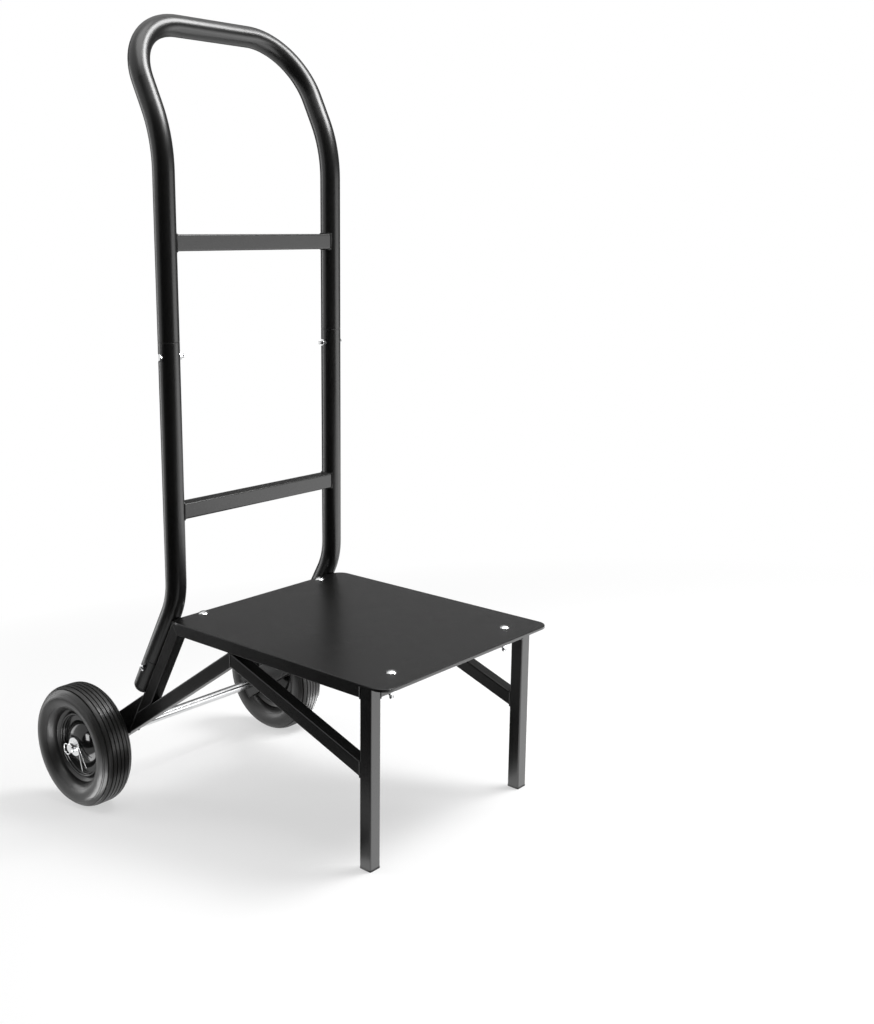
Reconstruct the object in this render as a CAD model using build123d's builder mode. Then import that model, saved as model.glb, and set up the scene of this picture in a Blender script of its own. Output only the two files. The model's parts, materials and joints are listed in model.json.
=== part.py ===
"""Two-wheel cart for stacked chairs: a deck on a tube frame, a tall bolted handle and two wheels."""

import os
from math import asin, atan2, cos, degrees, hypot, radians, sin, sqrt, tan

from build123d import *

os.makedirs("parts", exist_ok=True)

# The cart is drawn with its deck level: X across, Y from front to rear with 0 at the middle of the deck,
# Z up from the soles of the feet. Left is the -X side. The finished pieces are then leant forward
# together, as the cart stands when it is parked on its wheels and feet.

# Deck plate
deck_width = 471.0
deck_depth = 542.0
deck_thickness = 5.0
deck_corner_radius = 25.0
deck_edge_round = 1.5
deck_height = 335.0  # top of the deck above the soles
side_overhang = 9.5  # deck beyond the side rails
front_overhang = 38.0  # deck beyond the front legs

# Square tube of the frame
tube_size = 25.0
tube_wall = 1.5
tube_corner = 2.5

# Side frames
rear_rail_setback = 12.5  # deck's rear edge to the middle of the rear cross rail
knee_setback = 160.0  # deck's rear edge to the joint of brace and strut
knee_drop = 25.5  # bottom of the side rail to the low point of that joint
brace_slope = 19.6  # degrees, down to the front
strut_slope = 35.0  # degrees, down to the rear
weld_gap = 0.02

# Axle carriers
carrier_depth = 50.0
carrier_wall = 2.0
carrier_tail = 35.0  # past the axle
axle_setback = 245.0  # deck's rear edge to the axle
axle_diameter = 20.0
axle_clearance = 0.05

# Plastic plugs in the open tube ends
plug_clearance = 0.2
plug_length = 18.0
plug_lip = 0.4  # beyond the tube's face
sole_thickness = 3.5
sole_round = 1.5
carrier_cap_thickness = 3.0
carrier_cap_round = 1.5

# Round tube of the handle
handle_diameter = 40.0
handle_wall = 1.5
tube_end_chamfer = 0.6
deck_clearance = 0.3  # deck's rear edge to the handle tube
foot_rake = 28.9  # degrees from upright, below the foot bend
foot_bend_rise = 37.0  # deck to the corner of the foot bend
foot_bend_radius = 140.0
splice_rise = 524.0  # deck to the joint of the two handle lengths
bend_rise = 884.0  # deck to the corner of the upper bend
bend_radius = 250.0
grip_rake = 26.6  # degrees from upright, above the upper bend
grip_reach = 235.0  # corner of the upper bend to the middle of the grip bar
grip_corner_radius = 124.0

# Crossbars
crossbar_size = 30.0
crossbar_wall = 1.5
crossbar_corner = 3.0
lower_crossbar_rise = 207.0
upper_crossbar_rise = 701.0

# Spigots that join the tubes
spigot_clearance = 0.15
spigot_wall = 1.5
spigot_up = 50.0
spigot_down = 50.0
spigot_plug_gap = 4.0  # lower spigot to the plug of the socket's cap
splice_bolt_drop = 27.0  # joint to the bolt below it
socket_bolt_drop = 20.0
socket_length = 72.0
socket_cap_height = 13.0
socket_cap_round = 12.0
socket_cap_gap = 0.5  # cap to the carrier's top

# Bolts
bolt_diameter = 8.0
bolt_hole_clearance = 0.25
bolt_tip = 8.0  # past the nut
head_flats = 13.0
head_height = 5.3
nut_height = 6.5
thread_gap = 0.05
dome_head_diameter = 20.0
dome_head_height = 5.0
washer_diameter = 18.0
washer_thickness = 1.6
deck_bolt_spacing = 321.0

# Wheels
wheel_diameter = 252.0
tyre_width = 74.0
tyre_shoulder = 24.0
tyre_opening_diameter = 153.0
tyre_lip_depth = 25.5  # tyre's side to the edge of its opening
tyre_lip_round = 2.0
tread_groove_width = 2.5
tread_groove_depth = 2.5
tread_groove_pitch = 9.0
tread_groove_count = 7
wheel_gap = 9.0  # carrier to the tyre
flange_diameter = 136.0
flange_roll = 6.0  # thickness of the rolled edge
seat_diameter = 124.0
seat_half_width = 6.0
rim_thickness = 2.0
rim_bend = 2.5
dome_diameter = 98.0
dome_height = 18.0
dome_bulge = 4.0
tyre_seat_clearance = 0.2
bead_round = 3.0

# Hubs and their hardware
hub_diameter = 34.0
hub_inset = 16.8  # hub's end inside the tyre's side
bush_diameter = 26.0
bush_length = 16.0
end_play = 0.3
wheel_washer_diameter = 38.0
wheel_washer_thickness = 2.5
spacer_diameter = 30.0
pin_wire = 2.6
pin_gap = 0.2
pin_hole_clearance = 0.25
pin_slope = 25.0  # degrees, up to the front
pin_eye = 11.0  # half width of the eye
pin_eye_bend = 8.0
pin_leg = 51.0  # past the bend
pin_leg_bend = 91.0  # degrees
pin_splay = 8.0  # degrees, each leg
axle_tail = 10.5  # past the cotter pin
axle_chamfer = 1.5

# Heights and places that follow from the sizes above
deck_rear = deck_depth / 2
deck_front = -deck_depth / 2
deck_underside = deck_height - deck_thickness
rail_bottom = deck_underside - tube_size
tube_bore = tube_size - 2 * tube_wall
frame_x = deck_width / 2 - side_overhang - tube_size / 2
rail_inner = frame_x - tube_size / 2
leg_front = deck_front + front_overhang
leg_rear = leg_front + tube_size
front_rail_y = leg_front + tube_size / 2
rear_rail_y = deck_rear - rear_rail_setback
knee = Vector(0, deck_rear - knee_setback, rail_bottom - knee_drop)

handle_radius = handle_diameter / 2
rake = radians(foot_rake)
foot_down = Vector(0, sin(rake), -cos(rake))
foot_rearward = Vector(0, cos(rake), sin(rake))
handle_y = deck_rear + deck_clearance + handle_radius / cos(rake) - foot_bend_rise * tan(rake)
foot_corner = Vector(0, handle_y, deck_height + foot_bend_rise)
splice_z = deck_height + splice_rise

slope = radians(strut_slope)
strut_down = Vector(0, cos(slope), -sin(slope))
strut_up = Vector(0, sin(slope), cos(slope))
brace_down = Vector(0, -cos(radians(brace_slope)), -sin(radians(brace_slope)))
brace_up = Vector(0, -sin(radians(brace_slope)), cos(radians(brace_slope)))

carrier_middle = knee + strut_up * (carrier_depth / 2)
axle_y = deck_rear + axle_setback
axle_z = carrier_middle.Z - (axle_y - carrier_middle.Y) * tan(slope)
axle_middle = Vector(0, axle_y, axle_z)


def along(start, direction, offset_line, normal):
    """Point where the line from start meets the plane through offset_line with this normal."""
    return start + direction * ((offset_line - start).dot(normal) / direction.dot(normal))


# The uprights stand against the front of the handle's raked foot, and meet the rails in a mitre.
upright_rear = foot_corner - foot_rearward * (handle_radius + weld_gap)
upright_front = upright_rear - foot_rearward * tube_size
rail_top_line = Vector(0, 0, deck_underside)
rail_bottom_line = Vector(0, 0, rail_bottom)
level = Vector(0, 0, 1)
mitre_top = along(upright_rear, foot_down, rail_top_line, level)
mitre_bottom = along(upright_front, foot_down, rail_bottom_line, level)
mitre_run = mitre_top - mitre_bottom
mitre_normal = Vector(0, mitre_run.Z, -mitre_run.Y)
strut_top = knee + strut_up * tube_size
carrier_top = knee + strut_up * carrier_depth

# The socket ends where the round of its cap comes close to the top of the carrier.
cap_round_start = foot_corner - foot_rearward * (handle_radius - socket_cap_round)
cap_round_line = carrier_top + strut_up * (socket_cap_round + socket_cap_gap)
cap_round_middle = along(cap_round_start, foot_down, cap_round_line, strut_up)
socket_end = (cap_round_middle - foot_corner).dot(foot_down) - (socket_cap_height - socket_cap_round)
foot_length = socket_end - socket_length

# The parked lean brings the front edges of the soles and the wheels down to one floor.
wheel_radius = wheel_diameter / 2
sole_edge = Vector(0, leg_front - plug_lip + sole_round, sole_round)
reach = axle_middle - sole_edge
lean = asin((wheel_radius - sole_round) / hypot(reach.Y, reach.Z)) - atan2(reach.Z, reach.Y)
lift = wheel_radius - axle_y * sin(lean) - axle_z * cos(lean)
deck_edge_y = deck_front + deck_edge_round
deck_edge_z = deck_height - deck_edge_round
front_end = deck_edge_y * cos(lean) - deck_edge_z * sin(lean) - deck_edge_round
rear_end = axle_y * cos(lean) - axle_z * sin(lean) + wheel_radius
parked = Location((0, -(front_end + rear_end) / 2, lift), (degrees(lean), 0, 0))

sides = {"left": -1, "right": 1}


def write(piece, name):
    """Leans a finished piece with the parked cart, names it and writes it."""
    placed = piece.part.moved(parked)
    placed.label = name
    export_step(placed, f"parts/{name}.step")


def across(x, point):
    """The point of a side view at a place across the cart."""
    return Vector(x, point.Y, point.Z)


def hollow_section(width, depth, corner, wall):
    """Section of a square or flat tube with rounded corners."""
    RectangleRounded(width, depth, corner)
    RectangleRounded(width - 2 * wall, depth - 2 * wall, corner - wall / 2, mode=Mode.SUBTRACT)


def square_tube(start, end, depth=tube_size, wall=tube_wall):
    """Square tube from start to end, as wide across the cart as the frame's tube."""
    run = end - start
    with BuildSketch(Plane(origin=start, x_dir=(1, 0, 0), z_dir=run)) as section:
        hollow_section(tube_size, depth, tube_corner, wall)
    extrude(section.sketch, amount=run.length)


def cut_beyond(point, normal):
    """Takes away what lies past the plane through point, on the side that its normal shows."""
    split(bisect_by=Plane(origin=point, z_dir=normal), keep=Keep.BOTTOM)


def cross_rail(y):
    """Square tube between the side rails, under the deck."""
    end = Plane(origin=(-rail_inner, y, rail_bottom + tube_size / 2), x_dir=(0, 1, 0), z_dir=(1, 0, 0))
    with BuildSketch(end) as section:
        hollow_section(tube_size, tube_size, tube_corner, tube_wall)
    extrude(section.sketch, amount=2 * rail_inner)


def hole_along_x(point, radius, length):
    """Round hole across the cart, centred on point."""
    with Locations(Plane(origin=point, z_dir=(1, 0, 0))):
        Cylinder(radius, length, mode=Mode.SUBTRACT)


def round_tube(path):
    """Handle tube along a path of lines and arcs."""
    with BuildSketch(Plane(origin=path @ 0, z_dir=path % 0)) as section:
        Circle(handle_radius)
        Circle(handle_radius - handle_wall, mode=Mode.SUBTRACT)
    sweep(section.sketch, path=path)
    for end in (path @ 0, path @ 1):
        end_edges = edges().filter_by(GeomType.CIRCLE).sort_by_distance(end)
        chamfer(end_edges[1], tube_end_chamfer)


def bolt_shank(seat, grip):
    """Plain shank from the seat plane down through the grip and the nut."""
    with BuildSketch(seat) as shank:
        Circle(bolt_diameter / 2)
    extrude(shank.sketch, amount=-(grip + nut_height + bolt_tip))


def hex_bolt(seat, grip):
    """Hexagon bolt whose head sits on the seat plane."""
    with BuildSketch(seat) as head:
        RegularPolygon(head_flats / 2, 6, major_radius=False)
    extrude(head.sketch, amount=head_height)
    bolt_shank(seat, grip)


def dome_bolt(place, grip):
    """Upright round-head bolt whose head sits at this place."""
    with BuildSketch(Plane(origin=place, x_dir=(1, 0, 0), z_dir=(0, -1, 0))) as half_head:
        with BuildLine():
            dome = TangentArc((0, dome_head_height), (dome_head_diameter / 2, 0), tangent=(1, 0))
            Polyline(dome @ 1, (0, 0), dome @ 0)
        make_face()
    revolve(half_head.sketch, axis=Axis(place, (0, 0, 1)))
    bolt_shank(Plane(place), grip)


def hex_nut(seat):
    """Hexagon nut on the seat plane."""
    with BuildSketch(seat) as section:
        RegularPolygon(head_flats / 2, 6, major_radius=False)
        Circle(bolt_diameter / 2 + thread_gap, mode=Mode.SUBTRACT)
    extrude(section.sketch, amount=nut_height)


def flat_ring(seat, outer, inner, thickness):
    """Washer or spacer on the seat plane."""
    with BuildSketch(seat) as section:
        Circle(outer / 2)
        Circle(inner / 2, mode=Mode.SUBTRACT)
    extrude(section.sketch, amount=thickness)


# Deck plate with its bolt holes
deck_bolt_places = [
    Vector(x, y, deck_height)
    for y in (front_rail_y, rear_rail_y)
    for x in (-deck_bolt_spacing / 2, deck_bolt_spacing / 2)
]
bolt_hole_radius = bolt_diameter / 2 + bolt_hole_clearance

with BuildPart() as deck_plate:
    with BuildSketch(Plane.XY.offset(deck_underside)):
        RectangleRounded(deck_width, deck_depth, deck_corner_radius)
    extrude(amount=deck_thickness)
    fillet(deck_plate.faces().sort_by(Axis.Z)[-1].edges(), deck_edge_round)
    with Locations(deck_bolt_places):
        Hole(bolt_hole_radius)
write(deck_plate, "deck_plate")

# Cross rails under the deck
for end, y in {"front": front_rail_y, "rear": rear_rail_y}.items():
    with BuildPart() as cross_tube:
        cross_rail(y)
        with Locations([place for place in deck_bolt_places if place.Y == y]):
            Hole(bolt_hole_radius)
    write(cross_tube, f"{end}_cross_rail")

# Side frames
for side, sign in sides.items():
    x = sign * frame_x

    with BuildPart() as side_rail:
        middle_z = rail_bottom + tube_size / 2
        square_tube(Vector(x, leg_rear, middle_z), Vector(x, mitre_top.Y + tube_size, middle_z))
        cut_beyond(mitre_top, mitre_normal)
    write(side_rail, f"{side}_side_rail")

    with BuildPart() as front_leg:
        square_tube(Vector(x, front_rail_y, sole_thickness), Vector(x, front_rail_y, deck_underside))
    write(front_leg, f"{side}_front_leg")

    with BuildPart() as foot_cap:
        with BuildSketch(Plane(origin=(x, front_rail_y, 0))):
            RectangleRounded(tube_size + 2 * plug_lip, tube_size + 2 * plug_lip, tube_corner + plug_lip)
        extrude(amount=sole_thickness)
        fillet(foot_cap.faces().sort_by(Axis.Z)[0].edges(), sole_round)
        with BuildSketch(Plane(origin=(x, front_rail_y, sole_thickness))):
            plug_size = tube_bore - 2 * plug_clearance
            RectangleRounded(plug_size, plug_size, tube_corner - tube_wall / 2)
        extrude(amount=plug_length)
    write(foot_cap, f"{side}_foot_cap")

    with BuildPart() as front_brace:
        brace_start = across(x, knee + brace_up * (tube_size / 2))
        brace_length = (knee.Y - leg_rear) / cos(radians(brace_slope))
        brace_end = brace_start + brace_down * (brace_length + tube_size)
        square_tube(brace_start - brace_down * tube_size, brace_end)
        cut_beyond(knee, Vector(0, 1, 0))
        cut_beyond(rail_bottom_line, level)
        cut_beyond(Vector(0, leg_rear, 0), Vector(0, -1, 0))
    write(front_brace, f"{side}_front_brace")

    with BuildPart() as rear_strut:
        strut_start = across(x, knee + strut_up * (tube_size / 2))
        strut_length = (along(strut_top, strut_down, upright_rear, foot_rearward) - strut_top).length
        strut_end = strut_start + strut_down * (strut_length + 2 * tube_size)
        square_tube(strut_start - strut_down * tube_size, strut_end)
        cut_beyond(knee, Vector(0, -1, 0))
        cut_beyond(rail_bottom_line, level)
        cut_beyond(upright_rear, foot_rearward)
    write(rear_strut, f"{side}_rear_strut")

    with BuildPart() as rear_upright:
        upright_middle = (upright_front + upright_rear) / 2
        upright_start = across(x, along(upright_middle, foot_down, rail_top_line, level))
        upright_end = across(x, along(upright_middle, foot_down, strut_top, strut_up))
        square_tube(upright_start - foot_down * tube_size, upright_end + foot_down * (2 * tube_size))
        cut_beyond(mitre_top, -mitre_normal)
        cut_beyond(strut_top, -strut_up)
    write(rear_upright, f"{side}_rear_upright")

    with BuildPart() as axle_carrier:
        carrier_start = across(x, carrier_middle)
        carrier_end = across(x, axle_middle + strut_down * carrier_tail)
        square_tube(carrier_start, carrier_end, carrier_depth, carrier_wall)
        cut_beyond(upright_rear, -foot_rearward)
        hole_along_x(across(x, axle_middle), axle_diameter / 2 + axle_clearance, 2 * tube_size)
    write(axle_carrier, f"{side}_axle_carrier")

    with BuildPart() as carrier_cap:
        cap_plane = Plane(origin=carrier_end, x_dir=(1, 0, 0), z_dir=strut_down)
        with BuildSketch(cap_plane):
            RectangleRounded(tube_size + 2 * plug_lip, carrier_depth + 2 * plug_lip, tube_corner + plug_lip)
        extrude(amount=carrier_cap_thickness)
        fillet(carrier_cap.faces().sort_by(Axis(carrier_end, strut_down))[-1].edges(), carrier_cap_round)
        with BuildSketch(cap_plane):
            plug_taken = 2 * carrier_wall + 2 * plug_clearance
            plug_corner = tube_corner - carrier_wall / 2
            RectangleRounded(tube_size - plug_taken, carrier_depth - plug_taken, plug_corner)
        extrude(amount=-plug_length)
    write(carrier_cap, f"{side}_carrier_cap")

# Handle: sockets on the uprights, two lower lengths and one bent upper length
bore_radius = handle_radius - handle_wall
splice_bolt_point = Vector(0, handle_y, splice_z - splice_bolt_drop)
socket_mouth = foot_corner + foot_down * foot_length
socket_bolt_point = socket_mouth + foot_down * socket_bolt_drop

for side, sign in sides.items():
    x = sign * frame_x

    with BuildPart() as handle_socket:
        with BuildLine() as socket_line:
            Line(across(x, socket_mouth), across(x, foot_corner + foot_down * socket_end))
        round_tube(socket_line.line)
        hole_along_x(across(x, socket_bolt_point), bolt_hole_radius, 2 * handle_diameter)
    write(handle_socket, f"{side}_handle_socket")

    with BuildPart() as socket_cap:
        cap_start = across(x, foot_corner + foot_down * socket_end)
        cap_plane = Plane(origin=cap_start, x_dir=(1, 0, 0), z_dir=foot_down)
        with BuildSketch(cap_plane):
            Circle(handle_radius)
        extrude(amount=socket_cap_height)
        fillet(socket_cap.edges().sort_by(Axis(cap_plane.origin, foot_down))[-1], socket_cap_round)
        with BuildSketch(cap_plane):
            Circle(bore_radius - plug_clearance)
        extrude(amount=-plug_length)
    write(socket_cap, f"{side}_socket_cap")

    with BuildPart() as lower_handle_tube:
        with BuildLine() as lower_path:
            FilletPolyline(
                Vector(x, handle_y, splice_z),
                across(x, foot_corner),
                across(x, socket_mouth),
                radius=foot_bend_radius,
            )
        round_tube(lower_path.line)
        hole_along_x(across(x, splice_bolt_point), bolt_hole_radius, 2 * handle_diameter)
    write(lower_handle_tube, f"{side}_lower_handle_tube")

    lower_spigot_down = socket_length - plug_length - spigot_plug_gap
    spigots = {
        "upper": (Vector(x, handle_y, splice_z), Vector(0, 0, -1), spigot_down, splice_bolt_point),
        "lower": (across(x, socket_mouth), foot_down, lower_spigot_down, socket_bolt_point),
    }
    for level_name, (joint, down, spigot_reach, bolt_point) in spigots.items():
        with BuildPart() as spigot:
            spigot_diameter = 2 * (bore_radius - spigot_clearance)
            spigot_plane = Plane(origin=joint - down * spigot_up, x_dir=(1, 0, 0), z_dir=down)
            spigot_bore = spigot_diameter - 2 * spigot_wall
            flat_ring(spigot_plane, spigot_diameter, spigot_bore, spigot_up + spigot_reach)
            hole_along_x(across(x, bolt_point), bolt_hole_radius, 2 * handle_diameter)
        write(spigot, f"{side}_{level_name}_spigot")

grip_lean = radians(grip_rake)
bend_corner_z = deck_height + bend_rise
grip_y = handle_y + grip_reach * sin(grip_lean)
grip_z = bend_corner_z + grip_reach * cos(grip_lean)

with BuildPart() as upper_handle:
    with BuildLine() as grip_path:
        FilletPolyline(
            (-frame_x, handle_y, splice_z),
            (-frame_x, handle_y, bend_corner_z),
            (-frame_x, grip_y, grip_z),
            (frame_x, grip_y, grip_z),
            (frame_x, handle_y, bend_corner_z),
            (frame_x, handle_y, splice_z),
            radius=(bend_radius, grip_corner_radius, grip_corner_radius, bend_radius),
        )
    round_tube(grip_path.line)
write(upper_handle, "upper_handle")

# Crossbars, coped round the handle tubes
for level_name, rise in {"lower": lower_crossbar_rise, "upper": upper_crossbar_rise}.items():
    with BuildPart() as crossbar:
        crossbar_middle = Vector(0, handle_y, deck_height + rise)
        crossbar_start = across(-frame_x, crossbar_middle)
        with BuildSketch(Plane(origin=crossbar_start, x_dir=(0, 1, 0), z_dir=(1, 0, 0))):
            hollow_section(crossbar_size, crossbar_size, crossbar_corner, crossbar_wall)
        extrude(amount=2 * frame_x)
        with Locations(crossbar_start, across(frame_x, crossbar_middle)):
            Cylinder(handle_radius + weld_gap, 2 * crossbar_size, mode=Mode.SUBTRACT)
    write(crossbar, f"{level_name}_crossbar")

# Bolts and nuts of the handle, heads outside
for joint_name, point in {"splice": splice_bolt_point, "socket": socket_bolt_point}.items():
    with BuildPart() as joint_bolts:
        for sign in sides.values():
            head_seat = across(sign * (frame_x + handle_radius), point)
            hex_bolt(Plane(head_seat, x_dir=foot_down, z_dir=(sign, 0, 0)), handle_diameter)
    write(joint_bolts, f"{joint_name}_bolts")
    with BuildPart() as joint_nuts:
        for sign in sides.values():
            nut_seat = across(sign * (frame_x - handle_radius), point)
            hex_nut(Plane(nut_seat, x_dir=foot_down, z_dir=(-sign, 0, 0)))
    write(joint_nuts, f"{joint_name}_nuts")

# Bolts that hold the deck to its cross rails, with washers and nuts under the rails
with BuildPart() as deck_bolts:
    for place in deck_bolt_places:
        dome_bolt(place, deck_thickness + tube_size + washer_thickness)
write(deck_bolts, "deck_bolts")

with BuildPart() as deck_washers:
    for place in deck_bolt_places:
        washer_seat = Plane(Vector(place.X, place.Y, rail_bottom), z_dir=(0, 0, -1))
        flat_ring(washer_seat, washer_diameter, 2 * bolt_hole_radius, washer_thickness)
write(deck_washers, "deck_washers")

with BuildPart() as deck_nuts:
    for place in deck_bolt_places:
        hex_nut(Plane(Vector(place.X, place.Y, rail_bottom - washer_thickness), z_dir=(0, 0, -1)))
write(deck_nuts, "deck_nuts")

# Running gear: places outward from the middle of the cart
carrier_face = frame_x + tube_size / 2
wheel_x = carrier_face + wheel_gap + tyre_width / 2
hub_length = tyre_width - 2 * hub_inset
hub_start = wheel_x - hub_length / 2
hub_end = wheel_x + hub_length / 2
inner_washer_start = hub_start - end_play - wheel_washer_thickness
outer_washer_start = hub_end + end_play
pin_x = outer_washer_start + wheel_washer_thickness + pin_gap + pin_wire / 2
axle_end = pin_x + axle_tail
pin_lean = radians(pin_slope)
pin_front = Vector(0, -cos(pin_lean), sin(pin_lean))
pin_half_gap = pin_wire / 2 + pin_gap / 2
pin_hole_radius = pin_half_gap + pin_wire / 2 + pin_hole_clearance
axle_bore = axle_diameter + 2 * axle_clearance

with BuildPart() as axle:
    with BuildSketch(Plane(origin=across(-axle_end, axle_middle), z_dir=(1, 0, 0))):
        Circle(axle_diameter / 2)
    extrude(amount=2 * axle_end)
    chamfer(axle.edges(), axle_chamfer)
    for sign in sides.values():
        with Locations(Plane(origin=across(sign * pin_x, axle_middle), z_dir=pin_front)):
            Cylinder(pin_hole_radius, 2 * axle_diameter, mode=Mode.SUBTRACT)
write(axle, "axle")

with BuildPart() as axle_spacers:
    for sign in sides.values():
        spacer_plane = Plane(origin=across(sign * carrier_face, axle_middle), z_dir=(sign, 0, 0))
        flat_ring(spacer_plane, spacer_diameter, axle_bore, inner_washer_start - carrier_face)
write(axle_spacers, "axle_spacers")

with BuildPart() as wheel_washers:
    for sign in sides.values():
        for start in (inner_washer_start, outer_washer_start):
            washer_plane = Plane(origin=across(sign * start, axle_middle), z_dir=(sign, 0, 0))
            flat_ring(washer_plane, wheel_washer_diameter, axle_bore, wheel_washer_thickness)
write(wheel_washers, "wheel_washers")

# Cotter pins: one bent wire each, with its eye behind the axle and its legs bent down in front of it
pin_reach = axle_diameter / 2 + 2 * pin_wire
eye_neck = -pin_reach
eye_end = eye_neck - 2 * pin_eye
lower_turn = radians(pin_leg_bend + pin_splay)
upper_turn = radians(pin_leg_bend - pin_splay)
upper_bend = pin_reach + 2 * pin_half_gap * tan(radians(pin_leg_bend) / 2)
lower_leg = [
    (pin_reach + pin_leg * cos(lower_turn), pin_half_gap + pin_leg * sin(lower_turn)),
    (pin_reach, pin_half_gap),
]
upper_leg = [
    (upper_bend, -pin_half_gap),
    (upper_bend + pin_leg * cos(upper_turn), -pin_half_gap + pin_leg * sin(upper_turn)),
]
half_eye = [
    (eye_neck, pin_half_gap),
    (eye_neck - pin_eye / 2, pin_eye),
    (eye_end + pin_eye / 2, pin_eye),
]
eye = half_eye + [(eye_end, 0)] + [(place, -out) for place, out in reversed(half_eye)]
leg_radii = (pin_wire, pin_wire)
eye_radii = (pin_eye_bend,) * (len(eye) - 2)

with BuildPart() as cotter_pins:
    for sign in sides.values():
        pin_plane = Plane(origin=across(sign * pin_x, axle_middle), x_dir=pin_front, z_dir=(1, 0, 0))
        with BuildLine(pin_plane) as pin_path:
            FilletPolyline(*lower_leg, *eye, *upper_leg, radius=leg_radii + eye_radii + leg_radii)
        with BuildSketch(Plane(origin=pin_path.line @ 0, z_dir=pin_path.line % 0)):
            Circle(pin_wire / 2)
        sweep(path=pin_path.line)
write(cotter_pins, "cotter_pins")

# Wheels: tyre, two pressed rim halves back to back, hub sleeve and bushes
seat_radius = seat_diameter / 2
roll_radius = flange_roll / 2
roll_middle = flange_diameter / 2 - roll_radius
dome_radius = dome_diameter / 2
hub_radius = hub_diameter / 2
bead_half_width = seat_half_width - tyre_seat_clearance
bead_radius = seat_radius + tyre_seat_clearance
opening_radius = tyre_opening_diameter / 2
shoulder_radius = wheel_radius - tyre_shoulder
crown_half_width = tyre_width / 2 - tyre_shoulder
lip_x = tyre_width / 2 - tyre_lip_depth


def tread_radius(x):
    """Radius of the tread at a distance from the wheel's middle plane."""
    past_crown = max(abs(x) - crown_half_width, 0)
    return shoulder_radius + sqrt(tyre_shoulder**2 - past_crown**2)


groove_places = [(n - (tread_groove_count - 1) / 2) * tread_groove_pitch for n in range(tread_groove_count)]

for side, sign in sides.items():
    hub_axis = Axis(axle_middle, (1, 0, 0))
    wheel_middle = across(sign * wheel_x, axle_middle)

    with BuildPart() as tyre:
        wheel_plane = Plane(wheel_middle, x_dir=(sign, 0, 0), z_dir=(0, -sign, 0))
        with BuildSketch(wheel_plane) as tyre_section:
            with BuildLine():
                CenterArc((crown_half_width, shoulder_radius), tyre_shoulder, 90, -90)
                EllipticalCenterArc(
                    (lip_x, shoulder_radius),
                    tyre_lip_depth,
                    shoulder_radius - opening_radius,
                    start_angle=270,
                    arc_size=90,
                )
                Polyline(
                    (lip_x, opening_radius),
                    (bead_half_width, roll_middle + roll_radius),
                    (bead_half_width, bead_radius),
                    (0, bead_radius),
                    (0, wheel_radius),
                    (crown_half_width, wheel_radius),
                )
            make_face()
            fillet(tyre_section.vertices().sort_by_distance((lip_x, opening_radius))[0], tyre_lip_round)
            fillet(tyre_section.vertices().sort_by_distance((bead_half_width, bead_radius))[0], bead_round)
            mirror(about=Plane.YZ)
            with Locations([(place, tread_radius(place)) for place in groove_places]):
                Rectangle(tread_groove_width, 2 * tread_groove_depth, mode=Mode.SUBTRACT)
        revolve(axis=hub_axis)
    write(tyre, f"{side}_tyre")

    for half, facing in {"outer": sign, "inner": -sign}.items():
        with BuildPart() as rim_half:
            half_plane = Plane(wheel_middle, x_dir=(facing, 0, 0), z_dir=(0, -facing, 0))
            with BuildSketch(half_plane):
                with BuildLine():
                    FilletPolyline(
                        (seat_half_width, roll_middle),
                        (seat_half_width, seat_radius),
                        (0, seat_radius),
                        (0, dome_radius),
                        radius=rim_bend,
                    )
                    SagittaArc((0, dome_radius), (dome_height, hub_radius + axle_clearance), dome_bulge)
                    offset(amount=rim_thickness, side=Side.LEFT)
                make_face()
                with Locations((seat_half_width + roll_radius, roll_middle)):
                    Circle(roll_radius)
            revolve(axis=hub_axis)
        write(rim_half, f"{side}_{half}_rim_half")

    with BuildPart() as hub_sleeve:
        hub_plane = Plane(origin=across(sign * hub_start, axle_middle), z_dir=(sign, 0, 0))
        flat_ring(hub_plane, hub_diameter, bush_diameter, hub_length)
    write(hub_sleeve, f"{side}_hub_sleeve")

    with BuildPart() as hub_bushes:
        for start in (hub_start, hub_end - bush_length):
            bush_plane = Plane(origin=across(sign * start, axle_middle), z_dir=(sign, 0, 0))
            flat_ring(bush_plane, bush_diameter, axle_bore, bush_length)
    write(hub_bushes, f"{side}_hub_bushes")

print("parked lean in degrees", round(degrees(lean), 4))
print("shift along Y and lift in mm", round(parked.position.Y, 4), round(parked.position.Z, 4))
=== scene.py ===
"""Looks of the stacking chair cart: finishes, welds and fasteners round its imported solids."""

import json
from math import cos, pi, radians, sin, sqrt, tan

import bpy
from mathutils import Matrix, Vector


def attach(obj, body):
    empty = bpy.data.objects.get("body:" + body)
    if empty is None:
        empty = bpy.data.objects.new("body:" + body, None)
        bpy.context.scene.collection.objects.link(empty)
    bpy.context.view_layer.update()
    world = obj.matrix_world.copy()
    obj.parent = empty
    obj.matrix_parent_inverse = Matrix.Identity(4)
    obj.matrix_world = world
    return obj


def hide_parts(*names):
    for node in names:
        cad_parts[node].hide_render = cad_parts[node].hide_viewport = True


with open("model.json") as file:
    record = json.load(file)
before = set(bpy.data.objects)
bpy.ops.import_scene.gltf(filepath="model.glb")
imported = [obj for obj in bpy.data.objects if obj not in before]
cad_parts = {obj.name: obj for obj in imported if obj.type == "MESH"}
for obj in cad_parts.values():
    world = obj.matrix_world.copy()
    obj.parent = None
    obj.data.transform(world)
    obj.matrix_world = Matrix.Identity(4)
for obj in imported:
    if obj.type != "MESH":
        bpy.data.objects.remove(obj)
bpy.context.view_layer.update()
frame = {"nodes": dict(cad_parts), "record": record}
record = frame["record"]

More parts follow.
